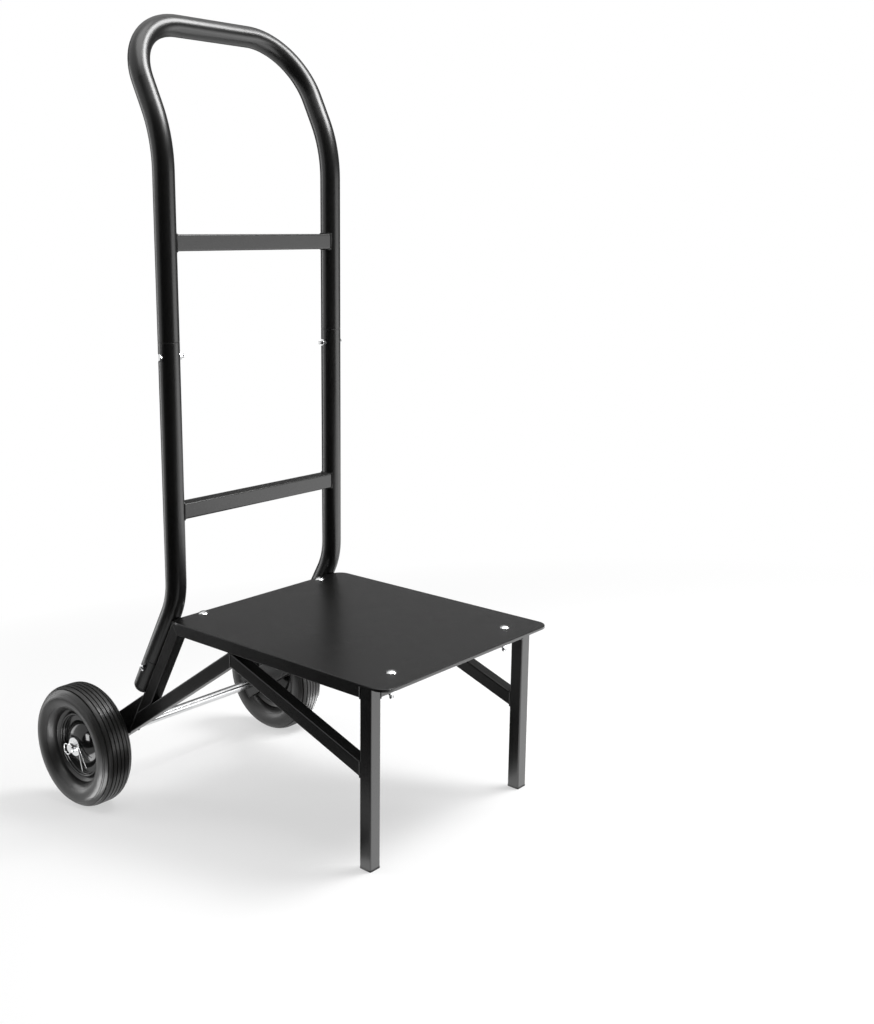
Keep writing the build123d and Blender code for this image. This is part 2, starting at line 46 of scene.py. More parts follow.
# The cart was drawn with its deck level and then leant forward to stand parked. Level places are
# measured from the middle of the deck's top: X across, Y to the rear, Z up from the deck.
deck_mount = next(mount for mount in record["mounts"] if mount["name"] == "deck_top")
deck_up = Vector(deck_mount["axis"]).normalized()
deck_across = Vector((1, 0, 0))
deck_rear = deck_up.cross(deck_across)
level_axes = Matrix((deck_across, deck_rear, deck_up)).transposed().to_4x4()
level = Matrix.Translation(deck_mount["pos_m"]) @ level_axes

# Camera, in level places
CAMERA_PLACE = (-1.63186, -1.48726, 0.72183)
CAMERA_YAW = radians(42.55)  # from +X towards +Y
CAMERA_PITCH = radians(11.72)  # below level
PHOTO_WIDTH, PHOTO_HEIGHT = 874, 1024
FOCAL_PIXELS = 1225.47
PRINCIPAL_POINT = (354.56, 485.24)
SENSOR_WIDTH = 36.0

# Fasteners, in metres
HEX_FLATS = 0.013
HEX_CHAMFER = radians(30)
HEX_CROWN = 0.95 * HEX_FLATS / 2  # radius of the flat of a head or nut inside its chamfer
HEAD_HEIGHT = 0.0053
NUT_HEIGHT = 0.0065
NUT_COUNTERSINK = 0.0005
BOLT_RADIUS = 0.004
BOLT_TIP_CHAMFER = 0.0008
THREAD_PITCH = 0.00125
THREAD_DEPTH = 0.0007
HEX_GRIP = 0.0465  # head's seat to the far side of the nut
DECK_GRIP = 0.0381
BOLT_TIP = 0.008  # thread past the nut
DOME_RADIUS = 0.01
DOME_HEIGHT = 0.005
DOME_EDGE = 0.0008
DOME_STEPS = 12
TURN_STEPS = 48
MERGE = 2e-6
SMOOTH_ANGLE = radians(35)

# Wheels, in metres
AXLE_Y, AXLE_Z = 0.347473, 0.126
TYRE_RIDGES = (0.0865, 0.1125, 0.1155)  # radius of each on a wall of the tyre
RIDGE_HALF_WIDTH = 0.0009
RIDGE_HEIGHT = 0.0005
RIDGE_PROFILE = ((-1, -1), (-0.5, 0.8), (0, 1), (0.5, 0.8), (1, -1))  # half widths, heights
RIDGE_STEPS = 144

# Welds, in metres
BEAD_RADIUS = 0.0022
BEAD_SINK = 0.0013  # middle of a bead below the faces that it joins flush
BEAD_SIDES = 8
RIPPLE_RINGS = ((0.0, 0.78), (0.0006, 1.0), (0.0014, 0.95), (0.002, 0.78))  # place, share of the radius
TUBE = 0.025
BRACE_SLOPE = radians(19.6)
STRUT_SLOPE = radians(35.0)
FOOT_RAKE = radians(28.9)
KNEE = (0.111, -0.0555)  # low point of the joint of brace and strut: Y, Z
CARRIER_DEPTH = 0.05
FOOT_CORNER = (0.27372, 0.037)  # corner of the handle's foot bend: Y, Z
HANDLE_RADIUS = 0.02
SOCKET_SEAM = 0.0085  # bead beside the line where a socket meets its upright
SOCKET_SEAM_RISE = 0.001  # its middle above the upright's face

# Light and floor
ROOM_LIGHT = 0.3  # of the white backdrop, on matt surfaces
FLOOR_SIZE = 40.0
FLOOR_COLOUR = (0.9, 0.9, 0.9, 1)
FLOOR_GLOW = 0.55  # share of plain white that shows in the floor round the cart
FLOOR_FADE_START = 1.0
FLOOR_FADE_END = 2.4
WHITE = (1, 1, 1, 1)
RAYS_TO_BACKGROUND = ("Camera", "Glossy", "Transmission")
VIEW = Vector((cos(CAMERA_YAW), sin(CAMERA_YAW), 0))  # level way into the picture
VIEW_RIGHT = Vector((sin(CAMERA_YAW), -cos(CAMERA_YAW), 0))
UP = Vector((0, 0, 1))
HANDLE_MIDDLE = 1.0 * UP
KEY_PLACE = 1.9 * VIEW_RIGHT - 0.2 * VIEW + 2.95 * UP
KEY_TARGET = 1.1 * UP
FLOOR_LAMP_HEIGHT = 0.003
FLOOR_PANEL_PLACE = 2.9 * VIEW_RIGHT - 0.3 * VIEW + FLOOR_LAMP_HEIGHT * UP
SIDE_PANEL_PLACE = 2.1 * VIEW_RIGHT + 0.85 * UP
LEFT_PLACE = -2.4 * VIEW_RIGHT + 1.0 * VIEW + 1.2 * UP
TOP_PLACE = 0.3 * VIEW_RIGHT - 0.6 * VIEW + 3.4 * UP
REAR_PANEL_PLACE = 2.95 * VIEW + 1.9 * UP
REAR_SIZE = {"width": 14.0, "height": 3.8}  # of the rear panel and of the screen behind it

# Lamps at the right wheel, which the left one has mirrored
HUB_PLACE = (0.28, AXLE_Y, AXLE_Z)
WINDOW_PLACE = (1.45, 0.19, 0.5)
RIM_STRIP_PLACE = (0.375, 0.26, FLOOR_LAMP_HEIGHT)
LIP_STRIP_PLACE = (0.43, 0.33, FLOOR_LAMP_HEIGHT)

# Screens, and the sheets on the floor, that only gloss sees: painted dark and grey reflections, and painted
# shade under the cart
REAR_SCREEN_PLACE = 3.0 * VIEW + 1.9 * UP
RIGHT_SCREEN_PLACE = 4.6 * VIEW_RIGHT + 2.1 * UP
RIGHT_SCREEN_TARGET = 2.1 * UP
FRONT_SCREEN_PLACE = -2.6 * VIEW + 2.5 * UP
FRONT_SCREEN_TARGET = 4.16 * UP
LEFT_SCREEN_PLACE = Vector((-0.5, -0.26, 0.16))
LEFT_SCREEN_TARGET = Vector((0.5, -0.26, 0.16))
REFLECTION_SHEET_HEIGHT = 0.004
# Place of the painted shade under the cart, a dark sheet that only gloss sees
UNDER_CART_SHADE_PLACE = Vector((-0.1, -0.06, REFLECTION_SHEET_HEIGHT))
DARK_FLOOR_REFLECTION_PLACE = Vector((-1.5, 0.7, REFLECTION_SHEET_HEIGHT))
DARK_FLOOR_REFLECTION_SIZE = {"width": 1.6, "height": 2.8}
ZINC_LAMP_RISE = 0.002  # above that sheet on the floor, a painted dark reflection
ZINC_NODES = ("axle", "axle_spacers", "wheel_washers", "cotter_pins")

SIDES = {"left": -1, "right": 1}
ENDS = {"front": -1, "rear": 1}
COPE_STEPS = 12


class Socket:
    """A node's output. Operators on it add Math nodes, and node() adds any other node."""

    def __init__(self, tree, output=None):
        self.tree = tree
        self.output = output

    def node(self, kind, settings=None, inputs=None, output=0):
        """Adds a node, with its settings first and then its inputs, and gives one of its outputs."""
        made = self.tree.nodes.new(kind)
        for name, value in (settings or {}).items():
            setattr(made, name, value)
        for name, value in (inputs or {}).items():
            if isinstance(value, Socket):
                self.tree.links.new(value.output, made.inputs[name])
            else:
                made.inputs[name].default_value = value
        return Socket(self.tree, made.outputs[output] if len(made.outputs) else None)

    def maths(self, operation, first, second):
        """Adds a Math node."""
        return self.node("ShaderNodeMath", {"operation": operation}, {0: first, 1: second})

    def __add__(self, other):
        return self.maths("ADD", self, other)

    def __radd__(self, other):
        return self.maths("ADD", other, self)

    def __mul__(self, other):
        return self.maths("MULTIPLY", self, other)

    def __rmul__(self, other):
        return self.maths("MULTIPLY", other, self)


def new_material(name):
    """An empty material and a Socket to build it from."""
    material = bpy.data.materials.new(name)
    material.use_nodes = True
    material.node_tree.nodes.clear()
    return material, Socket(material.node_tree)


def grey(value, warmth=0.0):
    """A neutral colour, a little warmer where warmth is above zero."""
    return (value * (1 + warmth), value, value * (1 - warmth), 1)


def object_place(shader):
    """Place on a piece, in metres."""
    return shader.node("ShaderNodeTexCoord", output="Object")


def noise(shader, place, scale, detail):
    """Noise from 0 to 1 with this many features to the metre."""
    return shader.node("ShaderNodeTexNoise", inputs={"Vector": place, "Scale": scale, "Detail": detail})


def between(shader, amount, low, high, low_at=0.3, high_at=0.7):
    """Maps an amount to the range from low to high."""
    return shader.node(
        "ShaderNodeMapRange",
        inputs={"Value": amount, "From Min": low_at, "From Max": high_at, "To Min": low, "To Max": high},
    )


def blend(shader, amount, first, second):
    """Mixes two colours."""
    return shader.node(
        "ShaderNodeMix",
        {"data_type": "RGBA"},
        {"Factor": amount, 6: first, 7: second},
        output=2,
    )


def surface(shader, colour, rough, normal, **plain):
    """Finishes a material with its main shader and output."""
    inputs = {"Base Color": colour, "Roughness": rough, "Normal": normal, **plain}
    skin = shader.node("ShaderNodeBsdfPrincipled", inputs=inputs)
    shader.node("ShaderNodeOutputMaterial", inputs={"Surface": skin})


def bump(shader, height, depth, strength):
    """Normal of a surface whose height varies by this depth in metres."""
    return shader.node("ShaderNodeBump", inputs={"Height": height, "Distance": depth, "Strength": strength})


def powder_coat():
    """Semi-gloss black powder coat with a fine orange peel."""
    material, shader = new_material("black_powder_coat")
    place = object_place(shader)
    cloud = noise(shader, place, scale=9.0, detail=3.0)
    grain = noise(shader, place, scale=1400.0, detail=1.0)
    peel = noise(shader, place, scale=420.0, detail=2.0)
    colour = blend(shader, cloud, grey(0.0035, warmth=0.02), grey(0.005, warmth=0.02))
    rough = between(shader, grain, low=0.27, high=0.34) + between(shader, cloud, low=-0.02, high=0.02)
    surface(shader, colour, rough, bump(shader, peel, depth=0.00004, strength=0.5))
    return material


def rim_enamel():
    """Gloss black enamel on the pressed rims."""
    material, shader = new_material("gloss_black_rim")
    place = object_place(shader)
    cloud = noise(shader, place, scale=14.0, detail=3.0)
    ripple = noise(shader, place, scale=130.0, detail=1.0)
    colour = blend(shader, cloud, grey(0.006), grey(0.009))
    rough = between(shader, cloud, low=0.1, high=0.16)
    surface(shader, colour, rough, bump(shader, ripple, depth=0.00003, strength=0.4))
    return material


def zinc_plate():
    """Bright zinc plate with faint drawing marks."""
    material, shader = new_material("zinc_hardware")
    place = object_place(shader)
    cloud = noise(shader, place, scale=60.0, detail=3.0)
    grain = noise(shader, place, scale=1800.0, detail=2.0)
    colour = blend(shader, cloud, grey(0.72, warmth=-0.01), grey(0.84, warmth=-0.005))
    rough = between(shader, cloud, low=0.12, high=0.2) + between(shader, grain, low=-0.02, high=0.03)
    surface(shader, colour, rough, bump(shader, grain, depth=0.00001, strength=0.4), Metallic=1.0)
    return material


def tyre_rubber():
    """Moulded rubber with a fine grain and a thin sheen."""
    material, shader = new_material("tyre_rubber")
    place = object_place(shader)
    cloud = noise(shader, place, scale=16.0, detail=4.0)
    grain = noise(shader, place, scale=1500.0, detail=2.0)
    colour = blend(shader, cloud, grey(0.012, warmth=0.02), grey(0.018, warmth=0.04))
    rough = between(shader, cloud, low=0.36, high=0.44) + between(shader, grain, low=-0.04, high=0.04)
    sheen = {"Coat Weight": 0.22, "Coat Roughness": 0.17}
    surface(shader, colour, rough, bump(shader, grain, depth=0.00005, strength=0.5), **sheen)
    return material


def moulded_plastic(name, dark, light):
    """Matt moulded plastic."""
    material, shader = new_material(name)
    place = object_place(shader)
    cloud = noise(shader, place, scale=40.0, detail=2.0)
    grain = noise(shader, place, scale=1600.0, detail=2.0)
    colour = blend(shader, cloud, grey(dark), grey(light))
    rough = between(shader, grain, low=0.42, high=0.55)
    surface(shader, colour, rough, bump(shader, grain, depth=0.00004, strength=0.5))
    return material


finishes = {
    "black_powder_coat": powder_coat(),
    "gloss_black_rim": rim_enamel(),
    "zinc_hardware": zinc_plate(),
    "tyre_rubber": tyre_rubber(),
    "black_plastic": moulded_plastic("black_plastic", dark=0.008, light=0.012),
    "bush_plastic": moulded_plastic("bush_plastic", dark=0.55, light=0.65),
}
for subpart in record["subparts"]:
    node_mesh = frame["nodes"][subpart["node"]].data
    node_mesh.materials.clear()
    node_mesh.materials.append(finishes[subpart["material_slot"]])


def deselect():
    """Leaves nothing selected."""
    bpy.ops.object.select_all(action="DESELECT")


def select_only(*pieces):
    """Selects these pieces alone, with the first one active."""
    deselect()
    for piece in pieces:
        piece.select_set(True)
    bpy.context.view_layer.objects.active = pieces[0]


def apply_modifiers(piece):
    """Applies a piece's modifiers in their order."""
    select_only(piece)
    for modifier in list(piece.modifiers):
        bpy.ops.object.modifier_apply(modifier=modifier.name)


def close_up(piece):
    """Merges doubles, fills open ends and points the faces outwards."""
    select_only(piece)
    bpy.ops.object.mode_set(mode="EDIT")
    bpy.ops.mesh.select_all(action="SELECT")
    bpy.ops.mesh.remove_doubles(threshold=MERGE)
    bpy.ops.mesh.fill_holes(sides=0)
    bpy.ops.mesh.select_all(action="SELECT")
    bpy.ops.mesh.normals_make_consistent(inside=False)
    bpy.ops.object.mode_set(mode="OBJECT")


def joined(name, pieces):
    """Several pieces as one."""
    select_only(*pieces)
    if len(pieces) > 1:
        bpy.ops.object.join()
    piece = bpy.context.object
    piece.name = name
    bpy.ops.object.shade_smooth_by_angle(angle=SMOOTH_ANGLE)
    return piece


def copy_at(model, matrix):
    """Copy of a modelled piece with its own mesh, with its place in that mesh."""
    select_only(model)
    bpy.ops.object.duplicate()
    copy = bpy.context.object
    copy.matrix_world = matrix
    bpy.ops.object.transform_apply(location=True, rotation=True, scale=True)
    return copy


def dress(piece, slot, stands_for=None, body="frame"):
    """Gives a piece its finish and its body, and hides the CAD node that it stands for."""
    piece.data.materials.clear()
    piece.data.materials.append(finishes[slot])
    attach(piece, body)
    if stands_for:
        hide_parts(stands_for)


def outline(name, corners):
    """Line of edges through (radius, height) corners, drawn out from one point."""
    deselect()
    radius, height = corners[0]
    bpy.ops.mesh.primitive_plane_add(size=BOLT_RADIUS, location=(radius, 0, height))
    piece = bpy.context.object
    piece.name = name
    bpy.ops.object.transform_apply(location=True)
    bpy.ops.object.mode_set(mode="EDIT")
    bpy.ops.mesh.select_all(action="SELECT")
    bpy.ops.mesh.merge(type="CENTER")
    for next_radius, next_height in corners[1:]:
        step = (next_radius - radius, 0, next_height - height)
        bpy.ops.mesh.extrude_vertices_move(TRANSFORM_OT_translate={"value": step})
        radius, height = next_radius, next_height
    bpy.ops.object.mode_set(mode="OBJECT")
    return piece


def turned(name, corners, steps=TURN_STEPS):
    """Solid turned about the Z axis from an outline that starts and ends on it, or that is closed."""
    piece = outline(name, corners)
    bpy.ops.object.mode_set(mode="EDIT")
    bpy.ops.mesh.select_all(action="SELECT")
    bpy.ops.mesh.spin(steps=steps, angle=2 * pi, center=(0, 0, 0), axis=(0, 0, 1))
    bpy.ops.object.mode_set(mode="OBJECT")
    close_up(piece)
    return piece


def cut_to_hexagon(blank):
    """Cuts flats on a turned blank, so that its chamfers leave curved corners."""
    deselect()
    bpy.ops.mesh.primitive_cylinder_add(vertices=6, radius=HEX_FLATS / sqrt(3), depth=4 * NUT_HEIGHT)
    stock = bpy.context.object
    flats = blank.modifiers.new("flats", "BOOLEAN")
    flats.operation = "INTERSECT"
    flats.object = stock
    apply_modifiers(blank)
    bpy.data.objects.remove(stock)


def thread(top, bottom):
    """Screw thread round the Z axis between two heights."""
    turns = int((top - bottom) / THREAD_PITCH)
    root = BOLT_RADIUS - THREAD_DEPTH
    ridge = outline(
        "thread",
        [(root, bottom), (BOLT_RADIUS, bottom + THREAD_PITCH / 2), (root, bottom + THREAD_PITCH)],
    )
    helix = ridge.modifiers.new("helix", "SCREW")
    helix.screw_offset = THREAD_PITCH
    helix.iterations = turns - 1
    helix.steps = TURN_STEPS // 2
    helix.use_merge_vertices = True
    apply_modifiers(ridge)
    return ridge


def shank(grip):
    """Plain shank under a head on the Z = 0 plane, and the thread on its end."""
    root = BOLT_RADIUS - THREAD_DEPTH
    end = -grip - BOLT_TIP
    thread_top = -grip + NUT_HEIGHT / 2
    core = turned(
        "core",
        [
            (0, 0),
            (BOLT_RADIUS, 0),
            (BOLT_RADIUS, thread_top),
            (root, thread_top),
            (root, end + BOLT_TIP_CHAMFER),
            (root - BOLT_TIP_CHAMFER, end),
            (0, end),
        ],
    )
    return [core, thread(thread_top, end + BOLT_TIP_CHAMFER)]


def hex_bolt():
    """Hexagon bolt with its head on the Z = 0 plane."""
    corner = HEX_FLATS / sqrt(3)
    chamfered = HEAD_HEIGHT - (corner - HEX_CROWN) * tan(HEX_CHAMFER)
    top = [(HEX_CROWN, HEAD_HEIGHT), (0, HEAD_HEIGHT)]
    head = turned("head", [(0, 0), (corner, 0), (corner, chamfered), *top])
    cut_to_hexagon(head)
    return joined("hex_bolt", [head, *shank(HEX_GRIP)])


def hex_nut():
    """Hexagon nut on the Z = 0 plane, chamfered on both faces and countersunk."""
    corner = HEX_FLATS / sqrt(3)
    fall = (corner - HEX_CROWN) * tan(HEX_CHAMFER)
    mouth = BOLT_RADIUS + NUT_COUNTERSINK
    nut = turned(
        "nut",
        [
            (BOLT_RADIUS, NUT_COUNTERSINK),
            (mouth, 0),
            (HEX_CROWN, 0),
            (corner, fall),
            (corner, NUT_HEIGHT - fall),
            (HEX_CROWN, NUT_HEIGHT),
            (mouth, NUT_HEIGHT),
            (BOLT_RADIUS, NUT_HEIGHT - NUT_COUNTERSINK),
            (BOLT_RADIUS, NUT_COUNTERSINK),
        ],
    )
    cut_to_hexagon(nut)
    return joined("hex_nut", [nut])


def dome_bolt():
    """Round-head bolt with its head on the Z = 0 plane."""
    rise = DOME_HEIGHT - DOME_EDGE
    ball = (DOME_RADIUS**2 + rise**2) / (2 * rise)
    radii = [DOME_RADIUS * n / DOME_STEPS for n in range(DOME_STEPS, -1, -1)]
    dome = [(radius, DOME_HEIGHT - ball + sqrt(ball**2 - radius**2)) for radius in radii]
    head = turned("head", [(0, 0), (DOME_RADIUS, 0), *dome])
    return joined("dome_bolt", [head, *shank(DECK_GRIP)])


def level_box(node, side_x=0, side_y=0):
    """Lowest and highest corner, in level places, of a CAD node's pieces on one side of the cart."""
    to_level = level.inverted()
    points = [to_level @ vertex.co for vertex in frame["nodes"][node].data.vertices]
    points = [point for point in points if point.x * side_x >= 0 and point.y * side_y >= 0]
    low = Vector([min(point[axis] for point in points) for axis in range(3)])
    high = Vector([max(point[axis] for point in points) for axis in range(3)])
    return low, high


def add_fasteners():
    """Bolts and nuts with chamfers and threads, in place of the plain ones."""
    bolt, nut, deck_bolt = hex_bolt(), hex_nut(), dome_bolt()
    for side, sign in SIDES.items():
        for joint in ("splice", "socket"):
            for kind, model in (("bolt", bolt), ("nut", nut)):
                low, high = level_box(f"{joint}_{kind}s", sign)
                outer = low.x if sign < 0 else high.x
                seat = (low + high) / 2
                seat.x, way = (outer - sign * HEAD_HEIGHT, sign) if kind == "bolt" else (outer, -sign)
                turn = Matrix.Rotation(way * pi / 2, 4, "Y")
                piece = copy_at(model, level @ Matrix.Translation(seat) @ turn)
                piece.name = f"{side}_{joint}_{kind}_detailed"
                dress(piece, "zinc_hardware", f"{joint}_{kind}s")
        for end, end_sign in ENDS.items():
            for kind, model in (("bolt", deck_bolt), ("nut", nut)):
                low, high = level_box(f"deck_{kind}s", sign, end_sign)
                seat = (low + high) / 2
                seat.z = high.z - DOME_HEIGHT if kind == "bolt" else low.z
                piece = copy_at(model, level @ Matrix.Translation(seat))
                piece.name = f"{side}_{end}_deck_{kind}_detailed"
                dress(piece, "zinc_hardware", f"deck_{kind}s")
    for model in (bolt, nut, deck_bolt):
        bpy.data.objects.remove(model)


def ripple():
    """One ripple of a weld bead, along X from the origin."""
    deselect()
    bpy.ops.mesh.primitive_circle_add(
        vertices=BEAD_SIDES, radius=BEAD_RADIUS * RIPPLE_RINGS[0][1], rotation=(0, pi / 2, 0)
    )
    piece = bpy.context.object
    piece.name = "ripple"
    bpy.ops.object.transform_apply(rotation=True)
    bpy.ops.object.mode_set(mode="EDIT")
    bpy.ops.mesh.select_all(action="SELECT")
    for (place, share), (next_place, next_share) in zip(RIPPLE_RINGS, RIPPLE_RINGS[1:]):
        step = (next_place - place, 0, 0)
        growth = next_share / share
        bpy.ops.mesh.extrude_edges_move(TRANSFORM_OT_translate={"value": step})
        bpy.ops.transform.resize(value=(1, growth, growth))
    bpy.ops.object.mode_set(mode="OBJECT")
    return piece


def bead(model, points, closed=False):
    """Weld bead: ripples laid along a line of level places."""
    line = bpy.data.curves.new("weld_line", "CURVE")
    line.dimensions = "3D"
    spline = line.splines.new("POLY")
    spline.points.add(len(points) - 1)
    for spot, point in zip(spline.points, points):
        spot.co = (*point, 1)
    spline.use_cyclic_u = closed
    path = bpy.data.objects.new("weld_line", line)
    bpy.context.collection.objects.link(path)
    legs = list(zip(points, points[1:])) + ([(points[-1], points[0])] if closed else [])
    length = sum((Vector(end) - Vector(start)).length for start, end in legs)
    pitch = RIPPLE_RINGS[-1][0]
    count = max(round(length / pitch), 2)
    piece = copy_at(model, Matrix.Diagonal((length / (count * pitch), 1, 1, 1)))
    row = piece.modifiers.new("row", "ARRAY")
    row.count = count
    row.use_merge_vertices = True
    row.merge_threshold = MERGE
    follow = piece.modifiers.new("follow", "CURVE")
    follow.object = path
    apply_modifiers(piece)
    bpy.data.objects.remove(path)
    close_up(piece)
    return piece


def along(start, way, point, normal):
    """Where a line from start crosses the line through point that has this normal."""
    return start + way * ((point - start).dot(normal) / way.dot(normal))


# Side view of the rear of the frame, as (Y, Z)
upright_down = Vector((sin(FOOT_RAKE), -cos(FOOT_RAKE)))
upright_rearward = Vector((cos(FOOT_RAKE), sin(FOOT_RAKE)))
upright_rear = Vector(FOOT_CORNER) - upright_rearward * HANDLE_RADIUS
upright_front = upright_rear - upright_rearward * TUBE
strut_up = Vector((sin(STRUT_SLOPE), cos(STRUT_SLOPE)))
knee = Vector(KNEE)
carrier_corner = along(upright_rear, upright_down, knee + strut_up * CARRIER_DEPTH, strut_up)


def side_seams(side):
    """Welds of one side frame, as lines on its side view: (Y, Z) to (Y, Z)."""
    leg = level_box(f"{side}_front_leg")[1]
    rail_low, rail_high = level_box(f"{side}_side_rail")
    level_up = Vector((0, 1))
    brace_low = knee.y - (knee.x - leg.y) * tan(BRACE_SLOPE)
    brace_high = brace_low + TUBE / cos(BRACE_SLOPE)
    strut_top = knee + strut_up * TUBE
    mitre_top = along(upright_rear, upright_down, Vector((0, rail_high.z)), level_up)
    mitre_bottom = along(upright_front, upright_down, Vector((0, rail_low.z)), level_up)
    return {
        "leg_rail": [(leg.y, rail_low.z), (leg.y, rail_high.z)],
        "leg_brace": [(leg.y, brace_low), (leg.y, brace_high)],
        "knee": [tuple(knee), (knee.x, rail_low.z)],
        "mitre": [tuple(mitre_bottom), tuple(mitre_top)],
        "strut": [
            tuple(along(upright_front, upright_down, strut_top, strut_up)),
            tuple(along(upright_rear, upright_down, strut_top, strut_up)),
        ],
        "carrier": [tuple(carrier_corner), tuple(along(upright_rear, upright_down, knee, strut_up))],
    }


def socket_seams(side):
    """Welds beside the line where a handle socket touches its upright, as lines of level places."""
    low, high = level_box(f"{side}_handle_socket")
    to_level = level.inverted()
    vertices = frame["nodes"][f"{side}_handle_socket"].data.vertices
    top = min(((to_level @ vertex.co).yz - upright_rear).dot(upright_down) for vertex in vertices)
    raised = upright_rearward * SOCKET_SEAM_RISE
    start, end = upright_rear + upright_down * top + raised, carrier_corner + raised
    middle = (low.x + high.x) / 2
    return [[(x, *start), (x, *end)] for x in (middle - SOCKET_SEAM, middle + SOCKET_SEAM)]


def cope_loop(sign, bar):
    """Loop of level places where a crossbar meets a handle tube."""
    low, high = level_box(bar)
    middle_y = (low.y + high.y) / 2
    half = (high.y - low.y) / 2
    tube_x = sign * (level_box("lower_crossbar")[1].x + sqrt(HANDLE_RADIUS**2 - half**2))
    steps = [half * (2 * n / COPE_STEPS - 1) for n in range(COPE_STEPS + 1)]

    def spot(y, z):
        return (tube_x - sign * sqrt(HANDLE_RADIUS**2 - y**2), middle_y + y, z)

    return [spot(y, high.z) for y in steps] + [spot(y, low.z) for y in reversed(steps)]


def add_welds():
    """Rippled weld beads where the tubes of the frame and handle meet."""
    model = ripple()
    for side, sign in SIDES.items():
        rail_low, rail_high = level_box(f"{side}_side_rail")
        beads = []
        seams = side_seams(side)
        for seam in seams.values():
            for x in (rail_low.x + BEAD_SINK, rail_high.x - BEAD_SINK):
                beads.append(bead(model, [(x, y, z) for y, z in seam]))
        leg = level_box(f"{side}_front_leg")[1]
        for y, z in (*seams["leg_brace"], (leg.y, rail_low.z)):
            beads.append(bead(model, [(rail_low.x, y, z), (rail_high.x, y, z)]))
        inner_x = rail_high.x if sign < 0 else rail_low.x
        for end in ENDS:
            low, high = level_box(f"{end}_cross_rail")
            beads.append(bead(model, [(inner_x, low.y, low.z), (inner_x, high.y, low.z)]))
            for y in (low.y + BEAD_SINK, high.y - BEAD_SINK):
                beads.append(bead(model, [(inner_x, y, low.z), (inner_x, y, high.z)]))
        for seam in socket_seams(side):
            beads.append(bead(model, seam))
        for bar in ("lower_crossbar", "upper_crossbar"):
            beads.append(bead(model, cope_loop(sign, bar), closed=True))
        welds = joined(f"{side}_welds", beads)
        select_only(welds)
        welds.matrix_world = level
        bpy.ops.object.transform_apply(location=True, rotation=True, scale=True)
        dress(welds, "black_powder_coat")
    bpy.data.objects.remove(model)


def tyre_ridges(tyre, middle):
    """Fine ridges on one wall of a tyre, with the middle of the tyre at the origin and its axis on Z."""
    rings = []
    for radius in TYRE_RIDGES:
        beside = Vector((2 * middle, AXLE_Y, AXLE_Z + radius))
        _, place, normal, _ = tyre.ray_cast(beside, Vector((1, 0, 0)))
        wall = Vector((radius, middle - place.x))
        out = Vector((normal.z, -normal.x)).normalized()
        across = Vector((out.y, -out.x))
        corners = [
            tuple(wall + across * width * RIDGE_HALF_WIDTH + out * height * RIDGE_HEIGHT)
            for width, height in RIDGE_PROFILE
        ]
        rings.append(turned("ridge", [*corners, corners[0]], RIDGE_STEPS))
    return joined("tyre_ridges", rings)


def add_tyre_ridges():
    """Moulded ridges round both walls of both tyres."""
    tyre = frame["nodes"]["left_tyre"]
    spread = [vertex.co.x for vertex in tyre.data.vertices]
    middle = (min(spread) + max(spread)) / 2
    model = tyre_ridges(tyre, middle)
    for side, sign in SIDES.items():
        for wall, way in (("outer", sign), ("inner", -sign)):
            place = Matrix.Translation((-sign * middle, AXLE_Y, AXLE_Z))
            piece = copy_at(model, place @ Matrix.Rotation(way * pi / 2, 4, "Y"))
            piece.name = f"{side}_tyre_{wall}_ridges"
            dress(piece, "tyre_rubber", body=f"{side}_wheel")
    bpy.data.objects.remove(model)


add_fasteners()
add_welds()
add_tyre_ridges()


def shows_background(shader):
    """1 for the rays that see the white background: the camera's own, and those in gloss and glass."""
    camera, glossy, transmission = (
        shader.node("ShaderNodeLightPath", output=f"Is {ray} Ray") for ray in RAYS_TO_BACKGROUND
    )
    return shader.maths("MINIMUM", camera + glossy + transmission, 1.0)


def add_floor():
    """Plain pale floor that fades to white round the cart and keeps its shadow."""
    deselect()
    bpy.ops.mesh.primitive_plane_add(size=FLOOR_SIZE)
    floor = bpy.context.object
    floor.name = "floor"
    material, shader = new_material("pale_floor")
    place = object_place(shader)
    distance = shader.node("ShaderNodeVectorMath", {"operation": "LENGTH"}, {0: place}, output="Value")
    fade = between(shader, distance, FLOOR_GLOW, 1.0, FLOOR_FADE_START, FLOOR_FADE_END)
    matt = shader.node("ShaderNodeBsdfDiffuse", inputs={"Color": FLOOR_COLOUR})
    glow = shader.node("ShaderNodeEmission", inputs={"Color": WHITE})
    mixed = shader.node("ShaderNodeMixShader", inputs={0: fade * shows_background(shader), 1: matt, 2: glow})
    shader.node("ShaderNodeOutputMaterial", inputs={"Surface": mixed})
    floor.data.materials.append(material)


def add_room():
    """White backdrop, and even soft light from all round."""
    world = bpy.data.worlds.new("studio")
    world.use_nodes = True
    world.node_tree.nodes.clear()
    shader = Socket(world.node_tree)
    strength = shows_background(shader) * (1 - ROOM_LIGHT) + ROOM_LIGHT
    room = shader.node("ShaderNodeBackground", inputs={"Color": WHITE, "Strength": strength})
    shader.node("ShaderNodeOutputWorld", inputs={"Surface": room})
    bpy.context.scene.world = world


def facing(place, target):
    """Turn of a lamp or screen at place that faces a target."""
    return (target - place).to_track_quat("-Z", "Y").to_euler()


def add_softbox(name, place, target, width, height, radiance):
    """Rectangular area lamp that faces a target; radiance is its brightness, with 1 as plain white."""
    bpy.ops.object.light_add(type="AREA", location=place)
    lamp = bpy.context.object
    lamp.name = name
    lamp.data.shape = "RECTANGLE"
    lamp.data.size = width
    lamp.data.size_y = height
    lamp.data.energy = radiance * pi * width * height
    lamp.rotation_euler = facing(place, target)
    lamp.visible_camera = False
    return lamp


def aim(lamp, nodes, state):
    """Keeps a lamp off some CAD nodes, or to them alone, as flags beside the lamp do."""
    flagged = bpy.data.collections.new(f"{lamp.name}_flagged")
    for node in nodes:
        flagged.objects.link(frame["nodes"][node])
    for member in flagged.collection_objects:
        member.light_linking.link_state = state
    lamp.light_linking.receiver_collection = flagged


